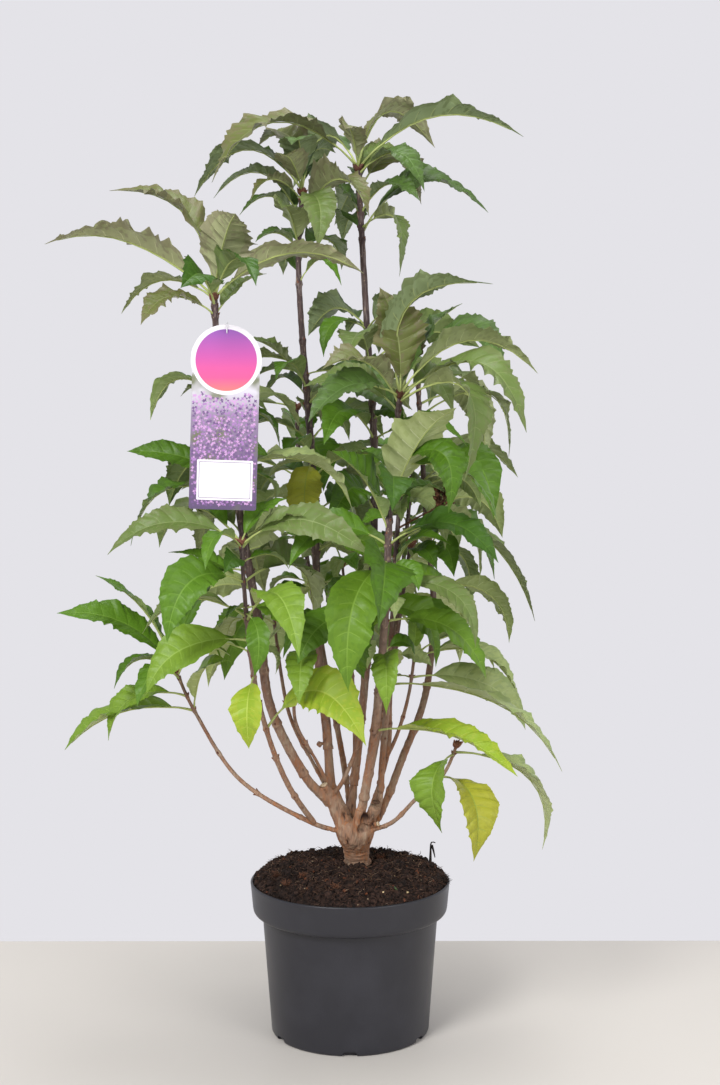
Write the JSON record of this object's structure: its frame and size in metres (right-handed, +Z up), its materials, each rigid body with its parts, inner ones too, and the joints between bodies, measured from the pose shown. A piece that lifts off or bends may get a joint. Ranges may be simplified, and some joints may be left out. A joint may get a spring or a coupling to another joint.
{
  "type": "potted lilac shrub",
  "caption": "Upright lilac shrub in a round black nursery pot filled with dark soil, its arching pointed leaves on slender purple-brown stems, with a blank card tag hung from one stem.",
  "frame": {"origin": "centre of the pot's flat underside, on the ground", "axes": "+Z up along the pot's axis, +Y from the pictured front towards the back, +X to the right as seen from the front"},
  "size_m": [0.6889, 0.6181, 1.3085],
  "materials": {
    "pot_plastic": "satin moulded plastic",
    "peat": "moist potting peat",
    "bark": "smooth brown bark",
    "leaf": "satin leaf",
    "tag_card": "printed plastic card, no lettering",
    "tag_strap": "plain plastic tie"
  },
  "bodies": {
    "root": {"pot": "pot_plastic", "soil": "peat", "trunk": "bark", "bough_low_left": "bark", "bough_front_left": "bark", "bough_tall_left": "bark", "bough_tall_left_upper": "bark", "bough_thin_left_back": "bark", "bough_thin_left_front": "bark", "bough_tall_centre_left": "bark", "bough_tall_centre_left_upper": "bark", "bough_centre_front": "bark", "bough_tall_centre": "bark", "bough_tall_centre_upper": "bark", "bough_centre_back": "bark", "bough_tall_front_right": "bark", "bough_tall_front_right_upper": "bark", "bough_twin_right": "bark", "bough_thin_right": "bark", "bough_side_right": "bark", "bough_tall_right": "bark", "bough_tall_right_upper": "bark", "bough_low_right": "bark", "bough_back_left": "bark", "bough_back_right": "bark", "foliage_low_left": "leaf", "foliage_front_left": "leaf", "foliage_tall_left_middle": "leaf", "foliage_tall_left_top": "leaf", "foliage_thin_left_back": "leaf", "foliage_thin_left_front": "leaf", "foliage_tall_centre_left_middle": "leaf", "foliage_tall_centre_left_top": "leaf", "foliage_centre_front": "leaf", "foliage_tall_centre_middle": "leaf", "foliage_tall_centre_top": "leaf", "foliage_centre_back": "leaf", "foliage_tall_front_right_middle": "leaf", "foliage_tall_front_right_top": "leaf", "foliage_twin_right": "leaf", "foliage_thin_right": "leaf", "foliage_side_right": "leaf", "foliage_tall_right_middle": "leaf", "foliage_tall_right_top": "leaf", "foliage_low_right": "leaf", "foliage_back_left": "leaf", "foliage_back_right": "leaf", "tag_card": "tag_card", "tag_strap": "tag_strap"}
  },
  "joints": []
}
